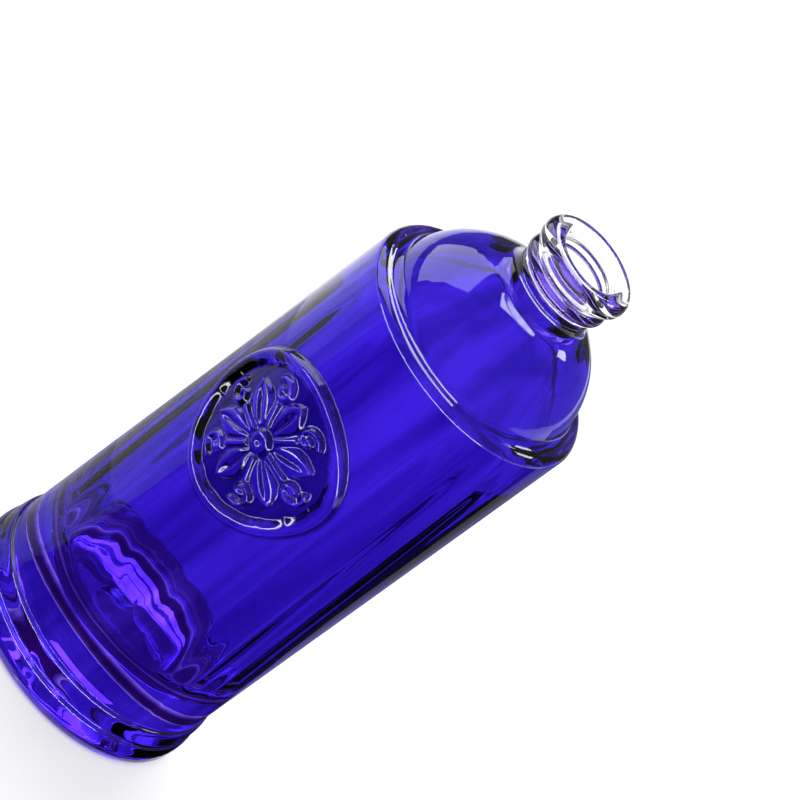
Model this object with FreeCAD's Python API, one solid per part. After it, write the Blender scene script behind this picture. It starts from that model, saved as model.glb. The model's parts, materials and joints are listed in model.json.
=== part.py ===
import FreeCAD, Part
import math
import os

from FreeCAD import Vector

# A hollow glass bottle with an open neck, an applied seal and a coloured lacquer coat, in millimetres.
# The origin is the middle of the base, +Z runs up the bottle's axis, and the seal faces -Y.

# Body: straight wall, rounded shoulder and the hollow bend at the dome's root
body_diameter = 46.0
body_top = 94.0
wall = 3.2
shoulder_width = 1.7
shoulder_height = 1.7
root_width = 1.7
root_height = 1.7

# Foot, which is a bead below a collar, and base
foot_flare = 1.35
foot_height = 9.2
bead_height = 5.2
bead_round = 2.4
bead_step = 0.5
collar_round = 3.0
heel_round = 2.1
bearing_width = 3.4
push_up = 2.6
floor_height = 13.8
floor_round = 7.6

# Dome, whose arc has its middle a little below the shoulder's top, and the vault of the cavity
dome_radius = 16.2
dome_sink = 1.75
vault_wall = 2.7

# Neck and its stopper finish: lower ring, gap and lip
neck_diameter = 16.0
neck_fillet = 3.5
neck_length = 1.3
ring_diameter = 17.7
ring_height = 2.6
ring_gap = 0.9
lip_diameter = 19.2
lip_height = 3.6
lip_underside = 1.5
lip_round = 1.8
bore_diameter = 11.5
bore_length = 12.4
mouth_round = 1.1

# Applied seal: a bevelled disc with a sunk field and a rosette in relief
seal_height = 64.0
seal_diameter = 30.6
seal_rise = 1.3
seal_bevel_width = 1.2
seal_bevel_drop = 1.05
field_diameter = 24.2
field_rise = 0.25
relief_rise = 1.15
scallop_count = 18
scallop_diameter = 1.6
boss_diameter = 4.0
petal_count = 6
petal_length = 7.0
petal_width = 4.6
petal_inner_gap = 0.5
curl_diameter = 4.8
curl_bar = 0.9
curl_ring_diameter = 18.4
curl_bead_diameter = 1.4

# Lacquer coat: its thickness, and the bare glass left at the bearing ring and under the lower ring
coat = 0.12
coat_foot_gap = 0.5
coat_neck_gap = 0.2

# Radii and heights that follow from the sizes above
body_r = body_diameter / 2
inner_r = body_r - wall
foot_r = body_r + foot_flare
collar_r = foot_r - bead_step
bearing_r = foot_r - heel_round
bearing_inner_r = bearing_r - bearing_width
shoulder_r = body_r - shoulder_width
shoulder_z = body_top + shoulder_height
dome_root_r = shoulder_r - root_width
dome_z = shoulder_z - dome_sink
dome_axis_r = dome_root_r - math.sqrt(dome_radius ** 2 - dome_sink ** 2)
neck_r = neck_diameter / 2
fillet_r = neck_r + neck_fillet
fillet_z = dome_z + math.sqrt((dome_radius + neck_fillet) ** 2 - (fillet_r - dome_axis_r) ** 2)
ring_bottom = fillet_z + neck_length
ring_top = ring_bottom + ring_height
ring_r = ring_diameter / 2
lip_bottom = ring_top + ring_gap
lip_r = lip_diameter / 2
mouth_z = lip_bottom + lip_height
bore_r = bore_diameter / 2
throat_z = mouth_z - bore_length
seal_r = seal_diameter / 2
field_r = field_diameter / 2
AXIS = Vector(0, 0, 1)
SEAL_MIDDLE = Vector(0, 0, seal_height)
SEAL_AXIS = Vector(0, -1, 0)
QUARTER_WEIGHT = math.sqrt(0.5)


def at(r, z):
    """A point of the profile, at radius r and height z."""
    return Vector(r, 0, z)


def line(start, end):
    return Part.LineSegment(start, end).toShape()


def arc(start, middle, end):
    return Part.Arc(start, middle, end).toShape()


def bend(start, corner, end, weight=QUARTER_WEIGHT):
    """A conic arc that leaves start towards corner and reaches end from corner; a quarter ellipse by default."""
    curve = Part.BezierCurve()
    curve.setPoles([start, corner, end])
    curve.setWeight(2, weight)
    return curve.toShape()


def turned(edges):
    """The solid that a closed profile sweeps in one turn about the axis."""
    face = Part.Face(Part.Wire(edges))
    return face.revolve(Vector(0, 0, 0), AXIS, 360)


def dome_edges(grow):
    """The bend at the dome's root, the dome and the fillet at the neck's root, moved outwards by grow."""
    radius = dome_radius + grow
    fillet = neck_fillet - grow
    start = math.asin((dome_sink + root_height) / dome_radius)
    edge_top = shoulder_z + grow
    end = math.atan2(fillet_z - dome_z, fillet_r - dome_axis_r)
    turn = math.pi + end

    def on_dome(angle):
        return at(dome_axis_r + radius * math.cos(angle), dome_z + radius * math.sin(angle))

    def on_fillet(angle):
        return at(fillet_r + fillet * math.cos(angle), fillet_z + fillet * math.sin(angle))

    rest = on_dome(start)
    corner = at(rest.x + (rest.z - edge_top) * math.tan(start), edge_top)
    return [
        bend(at(shoulder_r, edge_top), corner, rest),
        arc(rest, on_dome((start + end) / 2), on_dome(end)),
        arc(on_dome(end), on_fillet((turn + math.pi) / 2), at(neck_r + grow, fillet_z)),
    ]


def skin(grow):
    """The outside from the bearing ring up to the lower ring, moved outwards by grow."""
    side = body_r + grow
    foot = foot_r + grow
    bead_top = bead_height + grow
    collar = collar_r + grow
    foot_top = foot_height + grow
    edge_top = shoulder_z + grow
    return [
        bend(at(bearing_r, -grow), at(foot, -grow), at(foot, heel_round)),
        line(at(foot, heel_round), at(foot, bead_height - bead_round)),
        bend(at(foot, bead_height - bead_round), at(foot, bead_top), at(collar, bead_top)),
        line(at(collar, bead_top), at(collar, foot_height - collar_round)),
        bend(at(collar, foot_height - collar_round), at(collar, foot_top), at(side, foot_top)),
        line(at(side, foot_top), at(side, body_top)),
        bend(at(side, body_top), at(side, edge_top), at(shoulder_r, edge_top)),
        *dome_edges(grow),
        line(at(neck_r + grow, fillet_z), at(neck_r + grow, ring_bottom)),
    ]


def filled(grow):
    """The bottle up to the lower ring as if it had no cavity, moved outwards by grow."""
    bottom = line(at(0, -grow), at(bearing_r, -grow))
    top = line(at(neck_r + grow, ring_bottom), at(0, ring_bottom))
    middle = line(at(0, ring_bottom), at(0, -grow))
    return turned([bottom, *skin(grow), top, middle])


def neck_finish():
    """Lower ring, gap, lip and the rounded edge of the mouth, from the outside inwards."""
    lip_side = lip_bottom + lip_underside
    return [
        arc(at(neck_r, ring_bottom), at(ring_r, ring_bottom + ring_height / 2), at(neck_r, ring_top)),
        line(at(neck_r, ring_top), at(neck_r, lip_bottom)),
        bend(at(neck_r, lip_bottom), at(lip_r, lip_bottom), at(lip_r, lip_side)),
        line(at(lip_r, lip_side), at(lip_r, mouth_z - lip_round)),
        bend(at(lip_r, mouth_z - lip_round), at(lip_r, mouth_z), at(lip_r - lip_round, mouth_z)),
        line(at(lip_r - lip_round, mouth_z), at(bore_r + mouth_round, mouth_z)),
        bend(at(bore_r + mouth_round, mouth_z), at(bore_r, mouth_z), at(bore_r, mouth_z - mouth_round)),
    ]


def vault():
    """The elliptical roof of the cavity: it leaves the wall upright, keeps vault_wall at the dome's root
    and ends at the bore. Returns the edge and the height where the roof starts."""
    root_share = math.sqrt(1 - ((dome_root_r - vault_wall) / inner_r) ** 2)
    throat_angle = math.acos(bore_r / inner_r)
    rise = (throat_z - shoulder_z) / (math.sin(throat_angle) - root_share)
    spring = throat_z - rise * math.sin(throat_angle)
    half = throat_angle / 2
    corner = at(inner_r, spring + rise * math.tan(half))
    return bend(at(bore_r, throat_z), corner, at(inner_r, spring), math.cos(half)), spring


def cavity():
    """The inside, from the mouth down to the middle of the floor."""
    roof, spring = vault()
    corner_z = floor_height + floor_round
    floor_r = inner_r - floor_round
    return [
        line(at(bore_r, mouth_z - mouth_round), at(bore_r, throat_z)),
        roof,
        line(at(inner_r, spring), at(inner_r, corner_z)),
        bend(at(inner_r, corner_z), at(inner_r, floor_height), at(floor_r, floor_height)),
        line(at(floor_r, floor_height), at(0, floor_height)),
    ]


def underside():
    """The shallow hollow under the base and the flat ring that the bottle stands on."""
    radius = (bearing_inner_r ** 2 + push_up ** 2) / (2 * push_up)
    half = math.asin(bearing_inner_r / radius) / 2
    middle = at(radius * math.sin(half), push_up - radius * (1 - math.cos(half)))
    return [
        line(at(0, floor_height), at(0, push_up)),
        arc(at(0, push_up), middle, at(bearing_inner_r, 0)),
        line(at(bearing_inner_r, 0), at(bearing_r, 0)),
    ]


def glass_bottle():
    return turned(underside() + skin(0) + neck_finish() + cavity())


def plug(radius, across=0, up=0):
    """A round bar along the seal's axis, from the bottle's axis out past the seal."""
    start = SEAL_MIDDLE + Vector(across, 0, up)
    return Part.makeCylinder(radius, body_diameter, start, SEAL_AXIS)


def drum(rise):
    """A drum about the bottle's axis, standing rise proud of the body wall."""
    return Part.makeCylinder(body_r + rise, 2 * seal_diameter, SEAL_MIDDLE - AXIS * seal_diameter)


def around(shape, count, offset=0):
    """Copies of a shape, spaced evenly about the seal's axis."""
    copies = []
    for index in range(count):
        copy = shape.copy()
        copy.rotate(SEAL_MIDDLE, SEAL_AXIS, 360 * (index + offset) / count)
        copies.append(copy)
    return copies


def bevelled_disc(grow):
    """The seal's blank, with its outer edge bevelled."""
    radius = seal_r + grow
    rise = seal_rise + grow
    blank = plug(radius).common(drum(rise))
    rim = []
    for edge in blank.Edges:
        point = edge.valueAt((edge.FirstParameter + edge.LastParameter) / 2)
        on_drum = abs(math.hypot(point.x, point.y) - body_r - rise) < 0.001
        on_side = abs(math.hypot(point.x, point.z - seal_height) - radius) < 0.001
        if on_drum and on_side:
            rim.append(edge)
    return blank.makeChamfer(seal_bevel_drop, seal_bevel_width, rim)


def field(grow):
    """The sunk field inside the rim, with a scalloped edge."""
    scallop = plug(scallop_diameter / 2 - grow, up=field_r)
    outline = plug(field_r - grow).fuse(around(scallop, scallop_count))
    return outline.cut(drum(field_rise + grow))


def petal(grow):
    """A pointed leaf that stands on the boss, where two round bars overlap."""
    half_length = petal_length / 2
    half_width = petal_width / 2
    radius = (half_length ** 2 + half_width ** 2) / (2 * half_width)
    middle = boss_diameter / 2 + petal_inner_gap + half_length
    left = plug(radius + grow, half_width - radius, middle)
    right = plug(radius + grow, radius - half_width, middle)
    return left.common(right)


def curl(grow):
    """A ring with a bead in its eye, which sits between two petals' tips."""
    out = curl_ring_diameter / 2
    outer = curl_diameter / 2
    ring = plug(outer + grow, up=out).cut(plug(outer - curl_bar - grow, up=out))
    return ring.fuse(plug(curl_bead_diameter / 2 + grow, up=out))


def seal_form(grow):
    """The seal, moved outwards by grow, still solid down to the bottle's axis."""
    relief = plug(boss_diameter / 2 + grow)
    relief = relief.fuse(around(petal(grow), petal_count))
    relief = relief.fuse(around(curl(grow), petal_count, 0.5))
    relief = relief.common(drum(relief_rise + grow))
    return bevelled_disc(grow).cut(field(grow)).fuse(relief)


def applied_seal():
    return seal_form(0).cut(drum(0)).removeSplitter()


def lacquer_coat(seal):
    """The coat over the body, shoulder, dome and seal."""
    coat_height = ring_bottom - coat_neck_gap - coat_foot_gap
    coated = Part.makeCylinder(2 * foot_r, coat_height, Vector(0, 0, coat_foot_gap))
    outside = filled(coat).fuse(seal_form(coat))
    return outside.common(coated).cut(filled(0)).cut(seal)


def main():
    os.makedirs("parts", exist_ok=True)
    seal = applied_seal()
    pieces = {
        "glass_bottle": glass_bottle(),
        "applied_seal": seal,
        "lacquer_coat": lacquer_coat(seal),
    }
    for name, shape in pieces.items():
        shape.exportStep(f"parts/{name}.step")
        print(name, shape.isValid(), len(shape.Solids), round(shape.Volume, 2), shape.BoundBox)


main()
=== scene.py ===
"""A blue-coated glass aftershave bottle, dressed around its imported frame, in metres."""
import json
import logging
import math
from dataclasses import dataclass
from enum import Enum, IntEnum

import bmesh
import bpy
from bmesh.types import BMesh, BMFace, BMVert
from bpy.types import Material, Node, NodeTree, Object, Scene, ShaderNodeTree
from mathutils import Matrix, Vector


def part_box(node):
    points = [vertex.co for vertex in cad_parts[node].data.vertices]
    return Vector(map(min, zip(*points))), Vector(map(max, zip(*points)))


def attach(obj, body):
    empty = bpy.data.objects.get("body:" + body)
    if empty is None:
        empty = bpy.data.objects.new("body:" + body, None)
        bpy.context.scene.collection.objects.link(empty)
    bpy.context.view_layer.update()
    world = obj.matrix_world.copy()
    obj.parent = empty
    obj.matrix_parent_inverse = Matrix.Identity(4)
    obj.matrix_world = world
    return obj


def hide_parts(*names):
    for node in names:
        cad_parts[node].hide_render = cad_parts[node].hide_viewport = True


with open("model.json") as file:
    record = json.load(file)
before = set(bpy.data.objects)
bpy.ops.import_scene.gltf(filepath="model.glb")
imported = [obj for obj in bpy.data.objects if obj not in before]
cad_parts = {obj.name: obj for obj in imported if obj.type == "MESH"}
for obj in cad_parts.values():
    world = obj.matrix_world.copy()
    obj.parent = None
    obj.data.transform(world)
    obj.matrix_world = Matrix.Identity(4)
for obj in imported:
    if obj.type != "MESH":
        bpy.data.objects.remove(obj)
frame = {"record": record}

MM = 0.001
QUARTER_WEIGHT = math.sqrt(0.5)
WELD = 1e-6
RIGHT_ANGLE = 90.0
BODY = "root"
# Name of the painted shade layer: how far the coat's tint is darkened in the seal's low places
# and round its foot.
PAINTED_RECESS_SHADE = "painted_recess_shade"
UP = Vector((0.0, 0.0, 1.0))
FRONT = Vector((0.0, -1.0, 0.0))
Point = tuple[float, float]
Colour = tuple[float, float, float, float]
log = logging.getLogger("aftershave_bottle")


class Slot(Enum):
    """The record's material slots."""

    CLEAR_GLASS = "clear_glass"
    BLUE_LACQUER = "blue_lacquer"


class Face(IntEnum):
    """What a stretch of wall meets; the value is its material's place on the piece."""

    OPEN = 0
    BONDED = 1


class Ray(Enum):
    """The kinds of ray that a shader can tell apart; the value is a socket's name."""

    CAMERA = "Is Camera Ray"
    GLOSSY = "Is Glossy Ray"
    TRANSMISSION = "Is Transmission Ray"


def soft_step(low: float, high: float, value: float) -> float:
    """A smooth rise from 0 at low to 1 at high.

    Args:
        low: where the rise starts; it may lie above high, for a fall.
        high: where the rise ends.
        value: the place that is asked for.

    Returns:
        A share from 0 to 1.
    """
    share = min(1.0, max(0.0, (value - low) / (high - low)))
    return share * share * (3.0 - 2.0 * share)


def soft_max(first: float, second: float, width: float) -> float:
    """The larger of two heights, rounded where they cross.

    Args:
        first: one height.
        second: the other height.
        width: how far from the crossing the rounding reaches.

    Returns:
        The rounded maximum.
    """
    share = min(1.0, max(0.0, 0.5 + 0.5 * (first - second) / width))
    return second + (first - second) * share + width * share * (1.0 - share)


class Profile:
    """A run of points, each a radius and a height, drawn with lines, bends and arcs."""

    def __init__(self, start: Point) -> None:
        """Starts the run at a point."""
        self.points: list[Point] = [start]

    def line(self, end: Point, spacing: float = 0.0) -> None:
        """Draws a straight stretch.

        Args:
            end: where it ends.
            spacing: the longest step along it, or 0 for a single step.
        """
        start = self.points[-1]
        steps = max(1, math.ceil(math.dist(start, end) / spacing)) if spacing else 1
        across, up = end[0] - start[0], end[1] - start[1]
        for step in range(1, steps + 1):
            share = step / steps
            self.points.append((start[0] + across * share, start[1] + up * share))

    def bend(
        self, corner: Point, end: Point, steps: int, weight: float = QUARTER_WEIGHT
    ) -> None:
        """Draws a conic arc between two tangents; a quarter of an ellipse by default.

        Args:
            corner: where the tangents at both ends meet.
            end: where the arc ends.
            steps: how many chords it has.
            weight: how closely it follows the corner.
        """
        start = self.points[-1]
        for step in range(1, steps + 1):
            t = step / steps
            shares = ((1 - t) ** 2, 2 * t * (1 - t) * weight, t ** 2)
            total = sum(shares)
            places = tuple(zip(shares, (start, corner, end)))
            radius, height = (
                sum(share * place[axis] for share, place in places) / total for axis in (0, 1)
            )
            self.points.append((radius, height))

    def arc(
        self, centre: Point, radius: float, first: float, last: float, steps: int
    ) -> None:
        """Draws a round arc from one angle to another.

        Args:
            centre: the arc's middle.
            radius: the arc's radius.
            first: the angle that it starts at, in radians from the outward direction.
            last: the angle that it ends at.
            steps: how many chords it has.
        """
        for step in range(steps + 1):
            angle = first + (last - first) * step / steps
            across, up = radius * math.cos(angle), radius * math.sin(angle)
            self.points.append((centre[0] + across, centre[1] + up))


@dataclass(frozen=True)
class Sector:
    """A share of the turn about the axis: equal wedges, each with a number of steps."""

    angle: float
    copies: int
    steps: int


@dataclass(frozen=True)
class Rosette:
    """The stamped ornament of the seal, as a height over the body wall."""

    middle_z: float
    radius: float
    rise: float
    rim_width: float = 2.5 * MM
    rim_fullness: float = 2.2
    rim_softness: float = 0.8
    field_r: float = 12.1 * MM
    field_rise: float = 0.2 * MM
    scallops: int = 18
    scallop_depth: float = 0.3 * MM
    relief_rise: float = 1.15 * MM
    boss_r: float = 2.3 * MM
    dimple_depth: float = 0.45
    dimple_width: float = 0.3
    petals: int = 6
    petal_start: float = 2.0 * MM
    petal_length: float = 8.2 * MM
    petal_half_width: float = 2.5 * MM
    petal_lean: float = 1.25
    petal_fullness: float = 0.8
    petal_root: float = 0.72
    groove_half_width: float = 0.5 * MM
    groove_depth: float = 0.55
    groove_fade: float = 0.6
    curl_ring_r: float = 9.1 * MM
    curl_r: float = 2.8 * MM
    curl_pitch: float = 1.7 * MM
    curl_bar: float = 0.62 * MM
    curl_laps: int = 3
    curl_shift: float = 0.35
    curl_rise: float = 0.95
    bead_share: float = 1.2
    stem_start: float = 2.6 * MM
    stem_reach: float = 0.7
    stem_half_width: float = 0.75 * MM
    stem_rise: float = 0.8
    blend: float = 0.18 * MM

    @classmethod
    def from_frame(cls, body_r: float) -> "Rosette":
        """Takes the seal's place, radius and rise from its solid.

        Args:
            body_r: the radius of the wall that the seal lies on.

        Returns:
            The rosette's sizes.
        """
        low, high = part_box("applied_seal")
        middle_z, radius = (low.z + high.z) / 2, (high.x - low.x) / 2
        return cls(middle_z=middle_z, radius=radius, rise=-low.y - body_r)

    def height(self, across: float, up: float) -> float:
        """The height of the seal's face over the wall.

        Args:
            across: distance from the seal's middle along X.
            up: distance from the seal's middle along Z.

        Returns:
            The height, which is 0 outside the seal.
        """
        out = math.hypot(across, up)
        if out >= self.radius:
            return 0.0
        turn = math.atan2(across, up)
        rim = self._rim(out, turn)
        if out >= self.radius - self.rim_width / 2:
            return rim
        return max(rim, soft_max(self.field_rise, self._relief(out, turn), self.blend))

    def _rim(self, out: float, turn: float) -> float:
        """The rounded rim, whose inner side is scalloped.

        Args:
            out: distance from the seal's middle.
            turn: angle about the middle, in radians from straight up.

        Returns:
            The rim's height.
        """
        crown = self.radius - self.rim_width / 2
        if out > crown:
            share = (out - crown) / (self.radius - crown)
        else:
            pitch = math.tau / self.scallops
            off = 2.0 * (turn / pitch - round(turn / pitch))
            edge = self.field_r + self.scallop_depth * math.sqrt(1.0 - off ** 2)
            share = min(1.0, (crown - out) / (crown - edge))
        return self.rise * (1.0 - share ** self.rim_fullness) ** self.rim_softness

    def _relief(self, out: float, turn: float) -> float:
        """The highest of the boss, the petals and the curls at one place.

        Args:
            out: distance from the seal's middle.
            turn: angle about the middle, in radians from straight up.

        Returns:
            The relief's height, which is 0 between its figures.
        """
        pitch = math.tau / self.petals
        near = turn - round(turn / pitch) * pitch
        petal = self._petal(out * math.cos(near), out * math.sin(near))
        index = math.floor(turn / pitch)
        between = turn - (index + 0.5) * pitch
        side = 1.0 if index % 2 else -1.0
        curl = self._curl(out * math.cos(between), side * out * math.sin(between))
        return max(self._boss(out), petal, curl)

    def _boss(self, out: float) -> float:
        """The round boss, with a dimple in its middle.

        Args:
            out: distance from the seal's middle.

        Returns:
            The boss's height.
        """
        if out >= self.boss_r:
            return 0.0
        share = out / self.boss_r
        dimple = self.dimple_depth * math.exp(-(share / self.dimple_width) ** 2)
        return self.relief_rise * (math.sqrt(1.0 - share ** 2) - dimple)

    def _petal(self, along: float, aside: float) -> float:
        """A leaf with rolled edges and a groove along its middle.

        Args:
            along: distance from the seal's middle along the leaf.
            aside: distance from the leaf's middle line.

        Returns:
            The leaf's height.
        """
        share = (along - self.petal_start) / self.petal_length
        if not 0.0 < share < 1.0:
            return 0.0
        bulge = math.sin(math.pi * share ** self.petal_lean) ** self.petal_fullness
        half = self.petal_half_width * bulge
        if half <= 0.0 or abs(aside) >= half:
            return 0.0
        crown = math.sqrt(1.0 - (aside / half) ** 2)
        groove = self.groove_depth * math.exp(-(aside / self.groove_half_width) ** 2)
        groove *= soft_step(1.0, self.groove_fade, share)
        rise = self.petal_root + (1.0 - self.petal_root) * share
        return self.relief_rise * crown * (rise - groove)

    def _curl(self, along: float, aside: float) -> float:
        """A spiral curl on a stem that grows from the boss.

        Args:
            along: distance from the seal's middle along the stem.
            aside: distance from the stem's middle line.

        Returns:
            The height of the curl or its stem.
        """
        off = along - self.curl_ring_r
        out = math.hypot(off, aside)
        turn = (math.atan2(aside, -off) / math.tau) % 1.0
        best = 0.0
        for lap in range(self.curl_laps):
            middle = self.curl_pitch * (turn + lap - self.curl_shift)
            if 0.0 <= middle <= self.curl_r - self.curl_bar:
                best = max(best, math.exp(-((out - middle) / self.curl_bar) ** 2))
        bead = math.exp(-(out / (self.curl_bar * self.bead_share)) ** 2)
        stem = 0.0
        if self.stem_start < along < self.curl_ring_r - self.curl_r * self.stem_reach:
            stem = self.stem_rise * math.exp(-(aside / self.stem_half_width) ** 2)
        return self.relief_rise * self.curl_rise * max(best, bead, stem)


@dataclass(frozen=True)
class Chords:
    """How many chords each bend of the bottle's profile has."""

    heel: int = 10
    bead: int = 18
    collar: int = 12
    crease: int = 3
    shoulder: int = 16
    root: int = 14
    dome: int = 26
    fillet: int = 8
    ring: int = 16
    lip_underside: int = 12
    lip: int = 14
    mouth: int = 10
    throat: int = 4
    vault: int = 30
    floor: int = 16
    push_up: int = 14


@dataclass(frozen=True)
class BottleForm:
    """The sizes of the glass, which the bottle, the seal and the coat all follow."""

    mouth_z: float
    foot_r: float
    bore_r: float
    bore_length: float
    coat: float
    coat_bottom: float
    coat_top: float
    body_r: float = 23.0 * MM
    body_top: float = 94.0 * MM
    wall: float = 3.2 * MM
    shoulder_width: float = 1.7 * MM
    shoulder_height: float = 1.7 * MM
    root_width: float = 1.7 * MM
    root_height: float = 1.7 * MM
    foot_height: float = 9.2 * MM
    bead_height: float = 5.2 * MM
    bead_round: float = 2.4 * MM
    bead_step: float = 0.5 * MM
    collar_round: float = 3.0 * MM
    heel_round: float = 2.1 * MM
    bearing_width: float = 3.4 * MM
    push_up: float = 2.6 * MM
    floor_height: float = 13.8 * MM
    floor_round: float = 7.6 * MM
    dome_radius: float = 16.2 * MM
    dome_sink: float = 1.75 * MM
    vault_wall: float = 2.7 * MM
    vault_share: float = 0.985
    neck_r: float = 8.0 * MM
    neck_fillet: float = 3.5 * MM
    neck_length: float = 1.3 * MM
    ring_r: float = 8.85 * MM
    ring_height: float = 2.6 * MM
    ring_gap: float = 0.9 * MM
    lip_r: float = 9.6 * MM
    lip_underside: float = 1.5 * MM
    lip_round: float = 1.8 * MM
    mouth_round: float = 1.1 * MM
    crease: float = 0.35 * MM
    wall_step: float = 2.0 * MM
    seal_margin: float = 0.6 * MM
    chords: Chords = Chords()

    @classmethod
    def from_frame(cls, record: dict) -> "BottleForm":
        """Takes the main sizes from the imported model.

        Args:
            record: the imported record.

        Returns:
            The bottle's sizes.
        """
        glass_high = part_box("glass_bottle")[1]
        coat_low, coat_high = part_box("lacquer_coat")
        mounts = {mount["name"]: mount for mount in record["mounts"]}
        bore = mounts["neck_bore"]["dims"]
        return cls(
            mouth_z=glass_high.z,
            foot_r=glass_high.x,
            bore_r=bore["r_mm"] * MM,
            bore_length=bore["length_mm"] * MM,
            coat=coat_high.x - glass_high.x,
            coat_bottom=coat_low.z,
            coat_top=coat_high.z,
        )

    @property
    def inner_r(self) -> float:
        """The radius of the cavity's straight wall."""
        return self.body_r - self.wall

    @property
    def bearing_r(self) -> float:
        """The outer radius of the ring that the bottle stands on."""
        return self.foot_r - self.heel_round

    @property
    def shoulder_z(self) -> float:
        """The height of the shoulder's top."""
        return self.body_top + self.shoulder_height

    @property
    def dome_root_r(self) -> float:
        """The radius that the dome's arc has at the shoulder's top."""
        return self.body_r - self.shoulder_width - self.root_width

    @property
    def dome_centre(self) -> Point:
        """The middle of the dome's arc."""
        reach = math.sqrt(self.dome_radius ** 2 - self.dome_sink ** 2)
        return self.dome_root_r - reach, self.shoulder_z - self.dome_sink

    @property
    def fillet_centre(self) -> Point:
        """The middle of the fillet between the dome and the neck.

        Returns:
            Its radius and height.
        """
        centre_r, centre_z = self.dome_centre
        fillet_r = self.neck_r + self.neck_fillet
        rise = math.sqrt((self.dome_radius + self.neck_fillet) ** 2 - (fillet_r - centre_r) ** 2)
        return fillet_r, centre_z + rise

    @property
    def ring_bottom(self) -> float:
        """The underside of the lower neck ring."""
        return self.fillet_centre[1] + self.neck_length

    def skin(self, grow: float, seal: Rosette, seal_step: float) -> list[Point]:
        """The outside from the bearing ring up to the lower neck ring.

        Args:
            grow: how far it is moved outwards.
            seal: the seal on the wall.
            seal_step: the longest step along the wall behind the seal.

        Returns:
            The points, from the bottom up.
        """
        side = self.body_r + grow
        foot = self.foot_r + grow
        collar = foot - self.bead_step
        bead_top = self.bead_height + grow
        foot_top = self.foot_height + grow
        edge_top = self.shoulder_z + grow
        shoulder_r = self.body_r - self.shoulder_width
        crease, chords = self.crease, self.chords
        fine = seal.radius + self.seal_margin
        run = Profile((self.bearing_r, -grow))
        run.bend((foot, -grow), (foot, self.heel_round), chords.heel)
        run.line((foot, self.bead_height - self.bead_round), self.wall_step)
        run.bend((foot, bead_top), (collar, bead_top), chords.bead)
        run.line((collar, self.foot_height - self.collar_round), self.wall_step)
        run.bend((collar, foot_top), (side + crease, foot_top), chords.collar)
        run.bend((side, foot_top), (side, foot_top + crease), chords.crease)
        run.line((side, seal.middle_z - fine), self.wall_step)
        run.line((side, seal.middle_z + fine), seal_step)
        run.line((side, self.body_top), self.wall_step)
        run.bend((side, edge_top), (shoulder_r, edge_top), chords.shoulder)
        self._draw_dome(run, grow)
        return run.points

    def _draw_dome(self, run: Profile, grow: float) -> None:
        """Draws the hollow bend at the dome's root, the dome, the fillet and the neck.

        Args:
            run: the profile, which has reached the shoulder's top.
            grow: how far the outside is moved outwards.
        """
        chords = self.chords
        centre_r, centre_z = self.dome_centre
        fillet_r, fillet_z = self.fillet_centre
        radius = self.dome_radius + grow
        fillet = self.neck_fillet - grow
        edge_top = self.shoulder_z + grow
        first = math.asin((self.dome_sink + self.root_height) / self.dome_radius)
        last = math.atan2(fillet_z - centre_z, fillet_r - centre_r)
        rest = (centre_r + radius * math.cos(first), centre_z + radius * math.sin(first))
        corner_r = rest[0] + (rest[1] - edge_top) * math.tan(first)
        run.bend((corner_r, edge_top), rest, chords.root)
        run.arc((centre_r, centre_z), radius, first, last, chords.dome)
        run.arc((fillet_r, fillet_z), fillet, math.pi + last, math.pi, chords.fillet)
        run.line((self.neck_r + grow, self.ring_bottom))

    def finish(self) -> list[Point]:
        """The lower ring, the groove, the lip and the rounded edge of the mouth.

        Returns:
            The points, from the neck up and over into the bore.
        """
        chords = self.chords
        ring_top = self.ring_bottom + self.ring_height
        lip_bottom = ring_top + self.ring_gap
        lip_edge = (self.lip_r - self.lip_round, self.mouth_z)
        bore_edge = (self.bore_r, self.mouth_z - self.mouth_round)
        side_low = lip_bottom + self.lip_underside
        proud = self.ring_r - self.neck_r
        half = self.ring_height / 2
        bead = (half ** 2 + proud ** 2) / (2 * proud)
        open_angle = math.asin(half / bead)
        run = Profile((self.neck_r, self.ring_bottom))
        middle = (self.ring_r - bead, self.ring_bottom + half)
        run.arc(middle, bead, -open_angle, open_angle, chords.ring)
        run.line((self.neck_r, lip_bottom), self.crease)
        run.bend((self.lip_r, lip_bottom), (self.lip_r, side_low), chords.lip_underside)
        run.line((self.lip_r, self.mouth_z - self.lip_round))
        run.bend((self.lip_r, self.mouth_z), lip_edge, chords.lip)
        run.line((self.bore_r + self.mouth_round, self.mouth_z))
        run.bend((self.bore_r, self.mouth_z), bore_edge, chords.mouth)
        return run.points

    def cavity(self) -> list[Point]:
        """The bore, the vault, the inner wall and the floor.

        Returns:
            The points, from the mouth down to the middle of the floor.
        """
        chords = self.chords
        throat_z = self.mouth_z - self.mouth_round - self.bore_length
        corner_z = self.floor_height + self.floor_round
        floor_r = self.inner_r - self.floor_round
        # The vault is an ellipse through the throat and the wall under the dome's root.
        root_share = math.sqrt(1.0 - ((self.dome_root_r - self.vault_wall) / self.inner_r) ** 2)
        throat = math.acos(self.bore_r / self.inner_r)
        rise = (throat_z - self.shoulder_z) / (math.sin(throat) - root_share)
        spring = throat_z - rise * math.sin(throat)
        start = throat * self.vault_share
        top = (self.inner_r * math.cos(start), spring + rise * math.sin(start))
        half = start / 2
        corner = (self.inner_r, spring + rise * math.tan(half))
        run = Profile((self.bore_r, self.mouth_z - self.mouth_round))
        run.line((self.bore_r, throat_z + self.crease), self.wall_step)
        run.bend((self.bore_r, throat_z), top, chords.throat)
        run.bend(corner, (self.inner_r, spring), chords.vault, math.cos(half))
        run.line((self.inner_r, corner_z), self.wall_step)
        run.bend((self.inner_r, self.floor_height), (floor_r, self.floor_height), chords.floor)
        run.line((0.0, self.floor_height), self.wall_step / 2)
        return run.points

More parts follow.
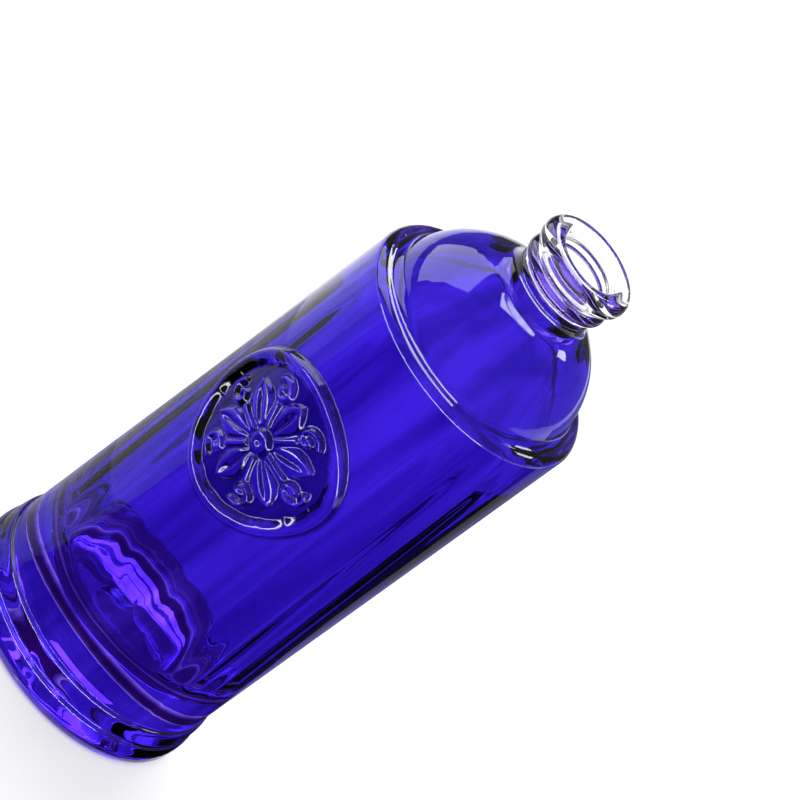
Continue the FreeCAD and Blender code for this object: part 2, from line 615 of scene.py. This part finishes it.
    def underside(self) -> list[Point]:
        """The hollow under the base and the bearing ring.

        Returns:
            The points, from the middle outwards.
        """
        inner = self.bearing_r - self.bearing_width
        radius = (inner ** 2 + self.push_up ** 2) / (2 * self.push_up)
        last = math.pi / 2 - math.asin(inner / radius)
        run = Profile((0.0, self.push_up))
        middle = (0.0, self.push_up - radius)
        run.arc(middle, radius, math.pi / 2, last, self.chords.push_up)
        run.line((self.bearing_r, 0.0), self.wall_step)
        return run.points


def contents(mesh: BMesh) -> list:
    """All the vertices, edges and faces of a mesh."""
    return [item for kind in (mesh.verts, mesh.edges, mesh.faces) for item in kind]


def only_verts(items: list) -> list[BMVert]:
    """The vertices among some items of a mesh."""
    return [item for item in items if isinstance(item, BMVert)]


def turn(
    mesh: BMesh, points: list[Point], start: float, sectors: list[Sector], face: Face
) -> list[BMVert]:
    """Spins a run of points about the bottle's axis.

    Each sector is a spun wedge and its turned copies.

    Args:
        mesh: the mesh that gets the faces.
        points: the run, as radius and height.
        start: the angle of the first sector, in radians from +X.
        sectors: the shares of the turn, which add up to a full one.
        face: what the new faces meet.

    Returns:
        The new vertices.
    """
    made: list = []
    centre = Vector()
    for sector in sectors:
        before = set(contents(mesh))
        aim = Matrix.Rotation(start, 3, "Z")
        verts = [mesh.verts.new(aim @ Vector((out, 0.0, height))) for out, height in points]
        edges = [mesh.edges.new(pair) for pair in zip(verts, verts[1:])]
        wedge = sector.angle / sector.copies
        bmesh.ops.spin(
            mesh, geom=verts + edges, cent=centre, axis=UP, angle=wedge, steps=sector.steps
        )
        geom = [item for item in contents(mesh) if item not in before]
        made += geom
        for copy in range(1, sector.copies):
            twin = bmesh.ops.duplicate(mesh, geom=geom)["geom"]
            turned = Matrix.Rotation(wedge * copy, 3, "Z")
            bmesh.ops.rotate(mesh, cent=centre, matrix=turned, verts=only_verts(twin))
            made += twin
        start += sector.angle
    for item in made:
        if isinstance(item, BMFace):
            item.material_index = face
    return only_verts(made)


def make_piece(mesh: BMesh, name: str, materials: list[Material]) -> Object:
    """Closes a mesh and makes it a smooth object at the origin.

    Args:
        mesh: the mesh, which is freed.
        name: the piece's name.
        materials: its materials, in the order of Face.

    Returns:
        The new object.
    """
    bmesh.ops.remove_doubles(mesh, verts=mesh.verts, dist=WELD)
    bmesh.ops.recalc_face_normals(mesh, faces=mesh.faces)
    for face in mesh.faces:
        face.smooth = True
    data = bpy.data.meshes.new(name)
    mesh.to_mesh(data)
    mesh.free()
    for material in materials:
        data.materials.append(material)
    piece = bpy.data.objects.new(name, data)
    bpy.context.scene.collection.objects.link(piece)
    return piece


def dress(piece: Object, node: str) -> None:
    """Puts a piece in its node's place.

    Args:
        piece: the new piece.
        node: the solid that it stands for.
    """
    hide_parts(node)
    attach(piece, BODY)
    log.info("%s: %d faces", piece.name, len(piece.data.polygons))


def new_material(name: str) -> tuple[Material, ShaderNodeTree, Node]:
    """Starts a material with a Principled shader.

    Args:
        name: the material's name.

    Returns:
        The material, its nodes and its Principled shader.
    """
    material = bpy.data.materials.new(name)
    material.use_nodes = True
    tree = material.node_tree
    return material, tree, tree.nodes["Principled BSDF"]


def fill(node: Node, values: dict) -> None:
    """Sets what a node's inputs hold, by name or place."""
    for name, value in values.items():
        node.inputs[name].default_value = value


def add_node(tree: NodeTree, kind: str, values: dict | None = None, **settings: object) -> Node:
    """Adds a shader node.

    Args:
        tree: the nodes that it joins.
        kind: its type, without the ShaderNode that all of them start with.
        values: what its inputs hold, by name or place.
        settings: its own settings, which are made before its inputs are filled.

    Returns:
        The node.
    """
    node = tree.nodes.new(f"ShaderNode{kind}")
    for name, setting in settings.items():
        setattr(node, name, setting)
    fill(node, values or {})
    return node


def wire(source: Node, output: str | int, target: Node, into: str | int) -> None:
    """Leads one node's output into another node's input."""
    source.id_data.links.new(source.outputs[output], target.inputs[into])


def seen_by(tree: NodeTree, rays: tuple[Ray, ...]) -> Node:
    """A node whose first output is 1 for some kinds of ray and 0 for the others.

    Args:
        tree: the nodes of a material or a world.
        rays: the kinds of ray, at least two.

    Returns:
        The node.
    """
    path = add_node(tree, "LightPath")
    total, output = path, rays[0].value
    for ray in rays[1:]:
        more = add_node(tree, "Math", operation="MAXIMUM")
        wire(total, output, more, 0)
        wire(path, ray.value, more, 1)
        total, output = more, 0
    return total


@dataclass(frozen=True)
class MouldedRipple:
    """A node group with the slow waves that moulding leaves in glass and lacquer."""

    name: str = "moulded_ripple"
    broad_detail: float = 2.0
    fine_detail: float = 4.0
    fine_ratio: float = 3.7
    spread_low: float = 0.32
    spread_high: float = 0.68

    def build(self) -> ShaderNodeTree:
        """Makes the group, or finds it where it is made already.

        Returns:
            The group, with a Height and a Mask that change over the surface.
        """
        if self.name in bpy.data.node_groups:
            return bpy.data.node_groups[self.name]
        group = bpy.data.node_groups.new(self.name, "ShaderNodeTree")
        for name, kind in (("Vector", "Vector"), ("Scale", "Float"), ("Distortion", "Float")):
            group.interface.new_socket(name, in_out="INPUT", socket_type=f"NodeSocket{kind}")
        for name in ("Height", "Mask"):
            group.interface.new_socket(name, in_out="OUTPUT", socket_type="NodeSocketFloat")
        inside = group.nodes.new("NodeGroupInput")
        outside = group.nodes.new("NodeGroupOutput")
        broad = add_node(group, "TexNoise", {"Detail": self.broad_detail})
        fine = add_node(group, "TexNoise", {"Detail": self.fine_detail})
        finer = add_node(group, "Math", {1: self.fine_ratio}, operation="MULTIPLY")
        wire(inside, "Scale", broad, "Scale")
        wire(inside, "Scale", finer, 0)
        wire(finer, 0, fine, "Scale")
        limits = {"From Min": self.spread_low, "From Max": self.spread_high}
        for noise, name in ((broad, "Height"), (fine, "Mask")):
            spread = add_node(group, "MapRange", limits, interpolation_type="SMOOTHSTEP")
            wire(inside, "Vector", noise, "Vector")
            wire(inside, "Distortion", noise, "Distortion")
            wire(noise, "Fac", spread, "Value")
            wire(spread, "Result", outside, name)
        return group


@dataclass(frozen=True)
class GlassFinish:
    """Clear or tinted glass, with a faint ripple, drifting tint, slightly uneven polish and,
    where given, painted shade.
    """

    name: str
    tint: Colour
    deep_tint: Colour
    ior: float
    smoothest: float
    dullest: float
    ripple_scale: float
    ripple_stretch: tuple[float, float, float]
    ripple_depth: float
    ripple_distortion: float = 0.4
    # A darker tint that paints shade into the seal's low places, or None for no painted shade.
    painted_shade_tint: Colour | None = None

    def build(self) -> Material:
        """Makes the material.

        Returns:
            The material.
        """
        material, tree, shader = new_material(self.name)
        fill(shader, {"Transmission Weight": 1.0, "IOR": self.ior})
        place = add_node(tree, "TexCoord")
        stretch = add_node(tree, "Mapping", {"Scale": self.ripple_stretch})
        waves = {"Scale": self.ripple_scale, "Distortion": self.ripple_distortion}
        ripple = add_node(tree, "Group", waves, node_tree=MouldedRipple().build())
        tint = add_node(tree, "Mix", {"A": self.tint, "B": self.deep_tint}, data_type="RGBA")
        polish = add_node(tree, "MapRange", {"To Min": self.smoothest, "To Max": self.dullest})
        bump = add_node(tree, "Bump", {"Distance": self.ripple_depth})
        wire(place, "Object", stretch, "Vector")
        wire(stretch, "Vector", ripple, "Vector")
        wire(ripple, "Height", tint, "Factor")
        wire(self._with_painted_shade(tree, tint), "Result", shader, "Base Color")
        wire(ripple, "Mask", polish, "Value")
        wire(polish, "Result", shader, "Roughness")
        wire(ripple, "Height", bump, "Height")
        wire(bump, "Normal", shader, "Normal")
        return material

    def _with_painted_shade(self, tree: ShaderNodeTree, plain: Node) -> Node:
        """The tint, with the painted shade of the seal's low places mixed in.

        Args:
            tree: the material's nodes.
            plain: the node that mixes the tint without painted shade.

        Returns:
            The node whose result is the final tint.
        """
        if self.painted_shade_tint is None:
            return plain
        # Painted shade: the layer's share mixes the tint towards the darker one.
        painted_shade_share = add_node(tree, "Attribute", attribute_name=PAINTED_RECESS_SHADE)
        mixed = add_node(tree, "Mix", {"B": self.painted_shade_tint}, data_type="RGBA")
        wire(painted_shade_share, "Fac", mixed, "Factor")
        wire(plain, "Result", mixed, "A")
        return mixed


@dataclass(frozen=True)
class BondFinish:
    """The bond between two layers in optical contact, where light passes straight on."""

    name: str

    def build(self) -> Material:
        """Makes the material.

        Returns:
            The material.
        """
        material, _, shader = new_material(self.name)
        fill(shader, {"Alpha": 0.0})
        return material


@dataclass(frozen=True)
class Finishes:
    """The finishes of the bottle."""

    clear: Material
    lacquer: Material
    bond: Material

    @classmethod
    def build(cls) -> "Finishes":
        """Makes the three materials.

        Returns:
            The finishes.
        """
        clear = GlassFinish(
            name="clear_flint_glass",
            tint=(0.99, 0.99, 0.995, 1.0),
            deep_tint=(0.97, 0.975, 0.985, 1.0),
            ior=1.52,
            smoothest=0.0,
            dullest=0.02,
            ripple_scale=60.0,
            ripple_stretch=(1.0, 1.0, 0.35),
            ripple_depth=0.04 * MM,
        )
        lacquer = GlassFinish(
            name="cobalt_lacquer",
            tint=(0.044, 0.013, 0.66, 1.0),
            deep_tint=(0.012, 0.002, 0.28, 1.0),
            ior=1.52,
            smoothest=0.0,
            dullest=0.03,
            ripple_scale=150.0,
            ripple_stretch=(1.0, 1.0, 0.08),
            ripple_depth=0.04 * MM,
            # Painted shade: a near-black blue for the seal's low places and the crease round it.
            painted_shade_tint=(0.0008, 0.0002, 0.045, 1.0),
        )
        bond = BondFinish("optical_bond")
        return cls(clear=clear.build(), lacquer=lacquer.build(), bond=bond.build())


@dataclass(frozen=True)
class GlassBottle:
    """The hollow bottle: outside under the coat, clear neck finish, uneven cavity and base."""

    form: BottleForm
    wedges: int = 16
    wedge_steps: int = 10
    waves: tuple[int, ...] = (3, 7, 11, 17, 23)
    wave_depth: float = 0.07 * MM
    wave_drift: float = 14.0
    floor_wave: float = 0.25 * MM
    floor_folds: int = 2
    floor_lean: float = 0.6
    floor_ripples: int = 5
    floor_ripple_share: float = 0.6

    def build(self, seal: Rosette, finishes: Finishes) -> None:
        """Makes the bottle.

        Args:
            seal: the seal on its wall.
            finishes: the materials.
        """
        mesh = bmesh.new()
        whole = [Sector(math.tau, self.wedges, self.wedge_steps)]
        turn(mesh, self.form.underside(), 0.0, whole, Face.OPEN)
        turn(mesh, self.form.skin(0.0, seal, self.form.wall_step), 0.0, whole, Face.BONDED)
        turn(mesh, self.form.finish(), 0.0, whole, Face.OPEN)
        for vert in turn(mesh, self.form.cavity(), 0.0, whole, Face.OPEN):
            self._ripple(vert)
        piece = make_piece(mesh, "moulded_bottle", [finishes.clear, finishes.bond])
        dress(piece, "glass_bottle")

    def _ripple(self, vert: BMVert) -> None:
        """Moves one point of the cavity, whose wall is uneven as blown glass is.

        Args:
            vert: the point.
        """
        form = self.form
        out = math.hypot(vert.co.x, vert.co.y)
        angle = math.atan2(vert.co.y, vert.co.x)
        low = soft_step(form.floor_height, form.floor_height + form.floor_round, vert.co.z)
        high = soft_step(form.shoulder_z, form.body_top - form.floor_round, vert.co.z)
        wave = sum(
            math.sin(count * angle + count * count + self.wave_drift * vert.co.z * (1 + index))
            for index, count in enumerate(self.waves)
        )
        grow = 1.0 + self.wave_depth * wave * low * high / max(out, form.bore_r)
        vert.co.x *= grow
        vert.co.y *= grow
        if vert.co.z < form.body_r:
            dip = math.cos(self.floor_folds * angle + self.floor_lean)
            dip += self.floor_ripple_share * math.sin(self.floor_ripples * angle)
            reach = soft_step(0.0, form.floor_round, out)
            vert.co.z += self.floor_wave * dip * (1.0 - low) * reach


@dataclass(frozen=True)
class AppliedSeal:
    """The stamped glass seal on the body wall, under the coat."""

    form: BottleForm
    rings: int = 60
    steps: int = 180

    def build(self, seal: Rosette, finishes: Finishes) -> None:
        """Makes the seal.

        Args:
            seal: the ornament.
            finishes: the materials.
        """
        mesh = bmesh.new()
        step = seal.radius / self.rings
        verts = [mesh.verts.new((step * ring, 0.0, 0.0)) for ring in range(self.rings + 1)]
        edges = [mesh.edges.new(pair) for pair in zip(verts, verts[1:])]
        bmesh.ops.spin(
            mesh, geom=verts + edges, cent=Vector(), axis=FRONT, angle=math.tau,
            steps=self.steps, use_merge=True,
        )
        bmesh.ops.remove_doubles(mesh, verts=mesh.verts, dist=WELD)
        raised = bmesh.ops.extrude_face_region(mesh, geom=list(mesh.faces))
        front = set(only_verts(raised["geom"]))
        for vert in mesh.verts:
            height = seal.height(vert.co.x, vert.co.z) if vert in front else 0.0
            radius = self.form.body_r + height
            vert.co.y = -math.sqrt(radius ** 2 - vert.co.x ** 2)
            vert.co.z += seal.middle_z
        for face in mesh.faces:
            face.material_index = Face.BONDED
        piece = make_piece(mesh, "stamped_seal", [finishes.clear, finishes.bond])
        dress(piece, "applied_seal")


@dataclass(frozen=True)
class LacquerCoat:
    """The blue coat over the body, the dome and the seal."""

    form: BottleForm
    seal_wedges: int = 15
    plain_wedges: int = 12
    seal_wedge_steps: int = 10
    plain_wedge_steps: int = 6
    outer_step: float = 0.25 * MM
    inner_step: float = 0.8 * MM
    sector_margin: float = math.radians(3.5)
    # How far beyond the seal the painted shade reaches, and the share of the seal's rise at which
    # it is gone.
    painted_shade_reach: float = 0.7 * MM
    painted_shade_top: float = 0.85

    def build(self, seal: Rosette, finishes: Finishes) -> None:
        """Makes the coat.

        Args:
            seal: the seal that the coat follows.
            finishes: the materials.
        """
        half = math.asin(seal.radius / self.form.body_r) + self.sector_margin
        sectors = [
            Sector(2 * half, self.seal_wedges, self.seal_wedge_steps),
            Sector(math.tau - 2 * half, self.plain_wedges, self.plain_wedge_steps),
        ]
        start = -math.pi / 2 - half
        outer = self._trimmed(self.form.skin(self.form.coat, seal, self.outer_step))
        inner = self._trimmed(self.form.skin(0.0, seal, self.inner_step))
        mesh = bmesh.new()
        turn(mesh, outer, start, sectors, Face.OPEN)
        turn(mesh, inner, start, sectors, Face.BONDED)
        turn(mesh, [inner[0], outer[0]], start, sectors, Face.OPEN)
        turn(mesh, [outer[-1], inner[-1]], start, sectors, Face.OPEN)
        # A painted shade layer: each point's share of the darker tint, largest in the seal's low
        # places.
        painted_recess_shade = mesh.verts.layers.float.new(PAINTED_RECESS_SHADE)
        for vert in mesh.verts:
            vert[painted_recess_shade] = self._raise(vert, seal)
        piece = make_piece(mesh, "cobalt_coat", [finishes.lacquer, finishes.bond])
        dress(piece, "lacquer_coat")

    def _trimmed(self, points: list[Point]) -> list[Point]:
        """The points between the coat's two ends, which are level.

        Args:
            points: the outside, from the bottom up.

        Returns:
            The points that the coat covers.
        """
        base, top = self.form.coat_bottom, self.form.coat_top
        kept = [point for point in points if base < point[1] < top]
        first = points.index(kept[0])
        low, high = points[first - 1], points[first]
        share = (base - low[1]) / (high[1] - low[1])
        bottom = (low[0] + (high[0] - low[0]) * share, base)
        return [bottom, *kept, (kept[-1][0], top)]

    def _raise(self, vert: BMVert, seal: Rosette) -> float:
        """Moves one point of the wall out over the seal and finds its painted shade.

        Args:
            vert: the point.
            seal: the seal that it follows.

        Returns:
            How much painted shade darkens the coat there, from 0 to 1.
        """
        up = vert.co.z - seal.middle_z
        across = math.hypot(vert.co.x, up)
        if vert.co.y >= 0.0 or across > seal.radius + self.painted_shade_reach:
            return 0.0
        height = seal.height(vert.co.x, up)
        out = math.hypot(vert.co.x, vert.co.y)
        vert.co.x *= (out + height) / out
        vert.co.y *= (out + height) / out
        # Painted shade: full in the seal's low places and in the crease round it, gone on its
        # high places.
        beside = soft_step(seal.radius + self.painted_shade_reach, seal.radius, across)
        return beside * soft_step(self.painted_shade_top * seal.rise, 0.0, height)


def toward(azimuth: float, elevation: float) -> Vector:
    """The direction from the bottle to a place in the studio.

    Args:
        azimuth: degrees about +Z, from -Y towards +X.
        elevation: degrees above the floor.

    Returns:
        A unit vector.
    """
    turned, lift = math.radians(azimuth), math.radians(elevation)
    flat = math.cos(lift)
    return Vector((math.sin(turned) * flat, -math.cos(turned) * flat, math.sin(lift)))


@dataclass(frozen=True)
class Softbox:
    """An even panel of light that faces the bottle."""

    name: str
    azimuth: float
    elevation: float
    width: float
    height: float
    radiance: float = 9.0
    distance: float = 0.7
    aim_height: float = 80.0 * MM
    seen_through: bool = True

    def hang(self) -> None:
        """Hangs the lamp in its place."""
        light = bpy.data.lights.new(self.name, "AREA")
        light.shape = "RECTANGLE"
        light.size = self.width
        light.size_y = self.height
        light.energy = self.radiance * math.pi * self.width * self.height
        lamp = bpy.data.objects.new(self.name, light)
        direction = toward(self.azimuth, self.elevation)
        lamp.location = UP * self.aim_height + direction * self.distance
        lamp.rotation_euler = direction.to_track_quat("Z", "Y").to_euler()
        lamp.visible_transmission = self.seen_through
        bpy.context.scene.collection.objects.link(lamp)


@dataclass(frozen=True)
class Flag:
    """A dark card on the floor that only the glass shows: a sector about a point."""

    name: str
    first: float
    last: float
    apex: tuple[float, float] = (0.0, 0.0)
    inner: float = 26.0 * MM
    outer: float = 300.0 * MM
    height: float = 0.4 * MM
    steps: int = 24
    density: float = 1.0
    seen_in_gloss: bool = True
    seen_through: bool = False
    felt: Colour = (0.01, 0.01, 0.012, 1.0)
    dullness: float = 0.95

    def lay(self) -> None:
        """Lays the card in its place."""
        material, _, shader = new_material(self.name)
        fill(shader, {"Base Color": self.felt, "Roughness": self.dullness})
        fill(shader, {"Specular IOR Level": 0.0, "Alpha": self.density})
        mesh = bmesh.new()
        middle = Vector((*self.apex, self.height))
        ray = toward(self.first, 0.0)
        ends = [mesh.verts.new(middle + ray * reach) for reach in (self.inner, self.outer)]
        geom = [*ends, mesh.edges.new(ends)]
        span = math.radians(self.last - self.first)
        bmesh.ops.spin(mesh, geom=geom, cent=middle, axis=UP, angle=span, steps=self.steps)
        card = make_piece(mesh, self.name, [material])
        card.visible_camera = False
        card.visible_diffuse = False
        card.visible_shadow = False
        card.visible_glossy = self.seen_in_gloss
        card.visible_transmission = self.seen_through


@dataclass(frozen=True)
class Studio:
    """The white floor, the soft light round the bottle and the dark flags that draw its edges."""

    view_azimuth: float
    body_r: float
    floor_size: float = 1.6
    white: Colour = (1.0, 1.0, 1.0, 1.0)
    paper: Colour = (0.40, 0.40, 0.42, 1.0)
    paper_roughness: float = 0.9
    sky: float = 0.15
    backdrop: float = 1.0
    floor_glow: float = 0.70
    # Under the bottle the floor's glow is a painted shadow, lit by a painted blue-violet light,
    # which fades out across the reach round the wall.
    painted_shadow_glow: float = 0.10
    painted_shadow_blue: Colour = (0.58, 0.12, 1.0, 1.0)
    painted_shadow_reach: float = 1.5 * MM
    strips: tuple[tuple[str, float], ...] = (
        ("left_strip", -28.0), ("middle_strip", 17.0), ("right_strip", 62.0),
    )
    strip_length: float = 0.35
    strip_width: float = 0.04
    strip_radiance: float = 13.0
    strip_distance: float = 0.4
    strip_height: float = 22.0 * MM
    left_first: float = -130.0
    left_steps: int = 4
    left_reach: float = 80.0 * MM
    left_spread: float = 22.0 * MM
    left_density: float = 0.4
    right_last: float = 190.0
    right_reach: float = 500.0 * MM
    right_density: float = 0.85
    fringe_steps: int = 5
    fringe_width: float = 14.0
    front_first: float = -40.0
    front_last: float = 150.0
    edge_first: float = 22.0
    edge_last: float = 52.0
    edge_inner: float = 6.0 * MM

    def build(self) -> None:
        """Makes the floor, the world, the lamps and the flags."""
        self._world()
        self._floor()
        for lamp in self._lamps():
            lamp.hang()
        for flag in self._flags():
            flag.lay()

    def _lamps(self) -> list[Softbox]:
        """The panels round the bottle, and the strips that draw lines along its foot.

        Returns:
            The lamps.
        """
        lamps = [
            Softbox("overhead_softbox", azimuth=-145.0, elevation=67.0, width=0.30, height=0.44),
            Softbox("back_softbox", azimuth=-150.0, elevation=40.0, width=0.26, height=0.22),
            Softbox(
                "side_window", azimuth=-88.0, elevation=28.0,
                width=0.70, height=0.80, radiance=2.6, distance=0.8,
            ),
            Softbox("back_glint", azimuth=166.0, elevation=42.0, width=0.16, height=0.10),
        ]
        for name, azimuth in self.strips:
            lamps.append(Softbox(
                name, azimuth=azimuth, elevation=0.0,
                width=self.strip_length, height=self.strip_width, radiance=self.strip_radiance,
                distance=self.strip_distance, aim_height=self.strip_height, seen_through=False,
            ))
        return lamps

    def _flags(self) -> list[Flag]:
        """The cards round the bottle, and one beside each edge that the camera sees.

        Returns:
            The cards.
        """
        away = self.view_azimuth + 2.0 * RIGHT_ANGLE
        cards = [
            Flag("front_flag", self.front_first, self.front_last),
            Flag(
                "right_flag", self.front_last, self.right_last,
                outer=self.right_reach, density=self.right_density,
            ),
        ]
        for step in range(self.left_steps):
            cards.append(Flag(
                f"left_flag_{step}", self.left_first, self.front_first,
                outer=self.left_reach + self.left_spread * step, density=self.left_density,
            ))
        for step in range(1, self.fringe_steps + 1):
            last = self.front_first - self.fringe_width * (step - 1)
            cards.append(Flag(
                f"front_flag_fringe_{step}", last - self.fringe_width, last,
                density=1.0 - step / (self.fringe_steps + 1),
            ))
        for side, name in ((-1.0, "right_edge_flag"), (1.0, "left_edge_flag")):
            limb = toward(away + side * RIGHT_ANGLE, 0.0) * self.body_r
            first, last = sorted((away + side * self.edge_first, away + side * self.edge_last))
            cards.append(Flag(
                name, first, last, apex=(limb.x, limb.y), inner=self.edge_inner,
                seen_in_gloss=False, seen_through=True,
            ))
        return cards

    def _world(self) -> None:
        """Makes the surround: white to look at and through glass, and dim as a light."""
        world = bpy.data.worlds.new("studio_room")
        bpy.context.scene.world = world
        world.use_nodes = True
        tree = world.node_tree
        back = tree.nodes["Background"]
        fill(back, {"Color": self.white})
        level = add_node(tree, "MapRange", {"To Min": self.sky, "To Max": self.backdrop})
        wire(seen_by(tree, (Ray.CAMERA, Ray.TRANSMISSION)), 0, level, "Value")
        wire(level, "Result", back, "Strength")

    def _floor(self) -> None:
        """Makes the white floor, which keeps the bottle's shadow and has a painted shadow,
        glowing a painted blue-violet light, under the bottle.
        """
        mesh = bmesh.new()
        bmesh.ops.create_grid(mesh, x_segments=1, y_segments=1, size=self.floor_size / 2)
        material, tree, shader = new_material("studio_floor")
        fill(shader, {"Base Color": self.paper, "Roughness": self.paper_roughness})
        fill(shader, {"Specular IOR Level": 0.0})
        place = add_node(tree, "TexCoord")
        reach = add_node(tree, "VectorMath", operation="LENGTH")
        # Painted shadow: the glow drops and turns blue-violet under the bottle, within a short
        # reach of its wall.
        low, high = self.body_r - self.painted_shadow_reach, self.body_r + self.painted_shadow_reach
        beside = add_node(
            tree, "MapRange", {"From Min": low, "From Max": high}, interpolation_type="SMOOTHSTEP"
        )
        hue = add_node(tree, "Mix", {"A": self.painted_shadow_blue, "B": self.white}, data_type="RGBA")
        glow = add_node(tree, "MapRange", {"To Min": self.painted_shadow_glow, "To Max": self.floor_glow})
        share = add_node(tree, "Math", operation="MULTIPLY")
        wire(place, "Object", reach, 0)
        wire(reach, "Value", beside, "Value")
        wire(beside, "Result", hue, "Factor")
        wire(beside, "Result", glow, "Value")
        wire(hue, "Result", shader, "Emission Color")
        wire(glow, "Result", share, 0)
        wire(seen_by(tree, tuple(Ray)), 0, share, 1)
        wire(share, 0, shader, "Emission Strength")
        make_piece(mesh, "studio_floor", [material])


@dataclass(frozen=True)
class PhotoCamera:
    """The camera at the photograph's angle, rolled so that the bottle leans right."""

    azimuth: float = 20.5
    elevation: float = 28.59
    roll: float = 53.65
    distance: float = 1.0670
    lens: float = 292.5
    sensor: float = 36.0
    aim_height: float = 0.05407
    aim_right: float = 0.01601
    aim_up: float = 0.01231
    nearest: float = 0.01

    def build(self) -> None:
        """Makes the camera and sets it as the scene's own."""
        back = toward(self.azimuth, self.elevation)
        right = toward(self.azimuth + RIGHT_ANGLE, 0.0)
        basis = Matrix((right, back.cross(right), back)).transposed()
        basis = basis @ Matrix.Rotation(math.radians(self.roll), 3, "Z")
        data = bpy.data.cameras.new("photo_camera")
        data.lens = self.lens
        data.sensor_width = self.sensor
        data.clip_start = self.nearest
        camera = bpy.data.objects.new("photo_camera", data)
        offset = basis @ Vector((self.aim_right, self.aim_up, self.distance))
        place = Matrix.Translation(UP * self.aim_height + offset)
        camera.matrix_world = place @ basis.to_4x4()
        bpy.context.scene.collection.objects.link(camera)
        bpy.context.scene.camera = camera


@dataclass(frozen=True)
class LightPaths:
    """How often light may bounce, so that it crosses all the layers of glass."""

    bounces: int = 24
    transmission: int = 24
    transparent: int = 64

    def apply(self, scene: Scene) -> None:
        """Sets the scene's light paths and its plain colours.

        Args:
            scene: the scene.
        """
        scene.view_settings.view_transform = "Standard"
        scene.cycles.max_bounces = self.bounces
        scene.cycles.transmission_bounces = self.transmission
        scene.cycles.transparent_max_bounces = self.transparent


def main() -> None:
    """Builds the bottle, the studio and the camera in order."""
    logging.basicConfig(level=logging.INFO, format="%(name)s: %(message)s")
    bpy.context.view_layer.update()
    form = BottleForm.from_frame(frame["record"])
    seal = Rosette.from_frame(form.body_r)
    finishes = Finishes.build()
    GlassBottle(form).build(seal, finishes)
    AppliedSeal(form).build(seal, finishes)
    LacquerCoat(form).build(seal, finishes)
    camera = PhotoCamera()
    camera.build()
    Studio(view_azimuth=camera.azimuth, body_r=form.body_r).build()
    LightPaths().apply(bpy.context.scene)


if __name__ == "__main__":
    main()
